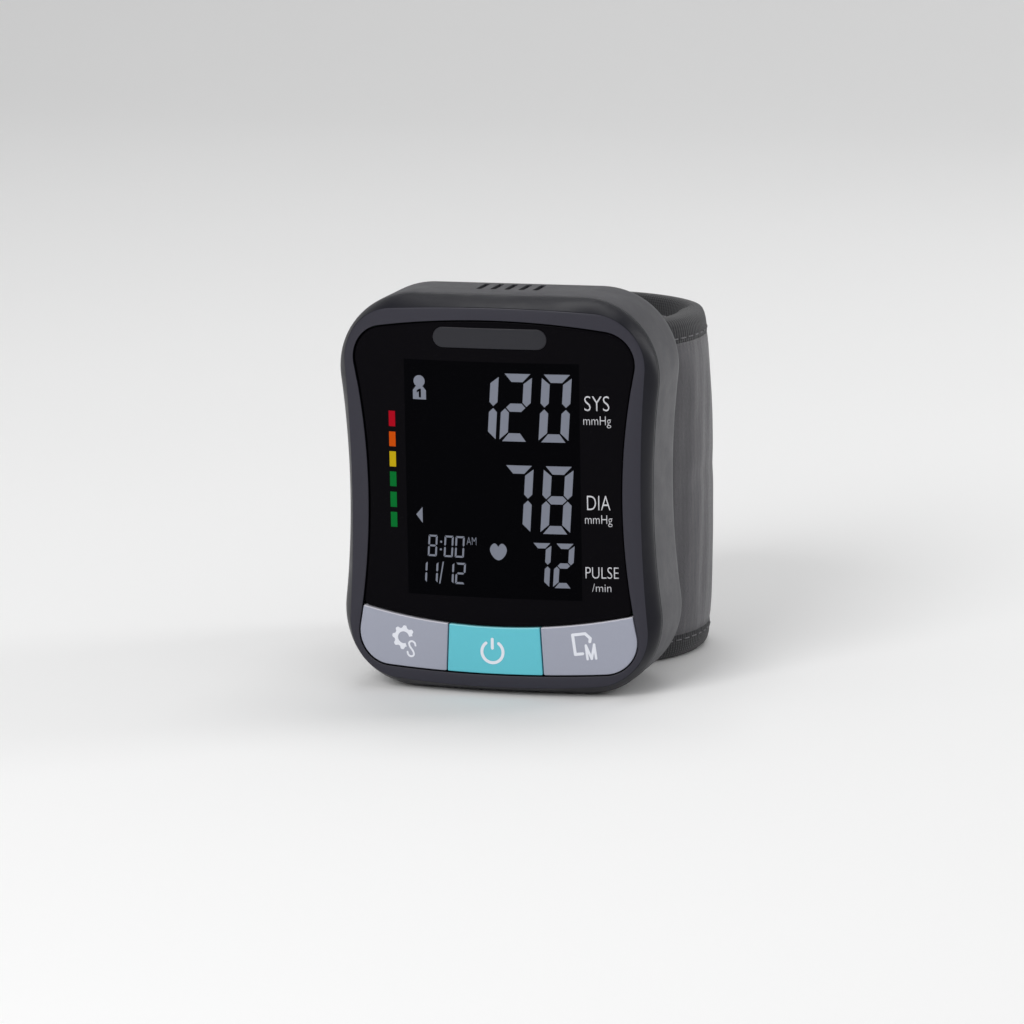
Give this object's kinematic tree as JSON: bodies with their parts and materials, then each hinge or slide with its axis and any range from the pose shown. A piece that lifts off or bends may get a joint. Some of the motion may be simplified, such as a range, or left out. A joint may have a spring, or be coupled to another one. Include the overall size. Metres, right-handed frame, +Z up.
{
  "type": "wrist blood pressure monitor",
  "caption": "Wrist blood pressure monitor: waisted case with a domed black display window and press buttons, pump and cells inside, and a padded wrist cuff with an opening flap.",
  "frame": {"origin": "centre of the bounding box at the table, under the case's flat foot and the cuff's lower edge", "axes": "+X to the display's right, +Y from the face towards the wrist, +Z up along the display"},
  "size_m": [0.0674, 0.081, 0.082],
  "materials": {
    "band_charcoal": "satin",
    "case_grey": "satin, fine grain",
    "window_black": "gloss",
    "badge_grey": "satin",
    "button_grey": "satin",
    "button_teal": "satin",
    "display_dark": "gloss",
    "white_plastic": "moulded",
    "black_plastic": "moulded",
    "black_rubber": "matt",
    "board_green": "solder mask",
    "steel": "plated",
    "brass": "turned",
    "hose_clear": "smooth",
    "cell_label": "printed sleeve",
    "cuff_fabric": "brushed loop fabric",
    "cuff_lining": "smooth woven lining",
    "hook_tape": "hook tape"
  },
  "bodies": {
    "case": {"front_cover": "band_charcoal", "rear_cover": "case_grey", "case_screw_1": "steel", "case_screw_2": "steel", "display_lens": "window_black", "badge_plate": "badge_grey", "settings_switch": "steel", "power_switch": "steel", "memory_switch": "steel", "display_glass": "display_dark", "backlight_tray": "white_plastic", "contact_strip": "black_rubber", "main_board": "board_green", "battery_outer": "cell_label", "battery_inner": "cell_label", "battery_spring_lower": "steel", "battery_spring_upper": "steel", "battery_bridge": "steel", "battery_plus_contact": "steel", "battery_minus_contact": "steel", "pump_motor": "steel", "pump_housing": "white_plastic", "pump_cap": "white_plastic", "air_manifold": "white_plastic", "valve_body": "steel", "pressure_sensor": "black_plastic", "speaker": "black_plastic", "pump_hose": "hose_clear", "sensor_hose": "hose_clear", "valve_hose": "hose_clear", "cuff_hose": "hose_clear", "cuff_outer_cover": "cuff_fabric", "cuff_stiffener": "white_plastic", "cuff_screw_1": "steel", "cuff_screw_2": "steel", "air_bladder": "black_rubber", "cuff_inner_cover": "cuff_lining"},
    "settings_button": {"settings_button": "button_grey", "settings_plunger": "black_rubber"},
    "power_button": {"power_button": "button_teal", "power_plunger": "black_rubber"},
    "memory_button": {"memory_button": "button_grey", "memory_plunger": "black_rubber"},
    "battery_door": {"battery_door": "case_grey"},
    "cuff_flap": {"flap_outer_cover": "cuff_fabric", "flap_stiffener": "white_plastic", "flap_inner_cover": "cuff_lining", "hook_patch": "hook_tape"},
    "pump_crank": {"pump_crank": "brass"},
    "valve_plunger": {"valve_plunger": "brass"}
  },
  "joints": [
    {"name": "settings_press", "type": "slide", "parent": "case", "child": "settings_button", "axis": [0, 1, 0], "range_m": [0, 0.0005], "stiffness_N_per_m": 2000},
    {"name": "power_press", "type": "slide", "parent": "case", "child": "power_button", "axis": [0, 1, 0], "range_m": [0, 0.0005], "stiffness_N_per_m": 2000},
    {"name": "memory_press", "type": "slide", "parent": "case", "child": "memory_button", "axis": [0, 1, 0], "range_m": [0, 0.0005], "stiffness_N_per_m": 2000},
    {"name": "battery_door_hinge", "type": "hinge", "parent": "case", "child": "battery_door", "pos_m": [-0.03255, -0.02322, 0.019], "axis": [0, -1, 0], "range_deg": [0, 90]},
    {"name": "cuff_flap_hinge", "type": "hinge", "parent": "case", "child": "cuff_flap", "pos_m": [0.02978, 0.02009, 0.036], "axis": [0, 0, -1], "range_deg": [0, 95]},
    {"name": "pump_crank_turn", "type": "hinge", "parent": "case", "child": "pump_crank", "pos_m": [0.00545, -0.02402, 0.0202], "axis": [0, 0, 1], "continuous": true},
    {"name": "valve_stroke", "type": "slide", "parent": "case", "child": "valve_plunger", "axis": [0, 0, -1], "range_m": [0, 0.0008], "stiffness_N_per_m": 200}
  ]
}
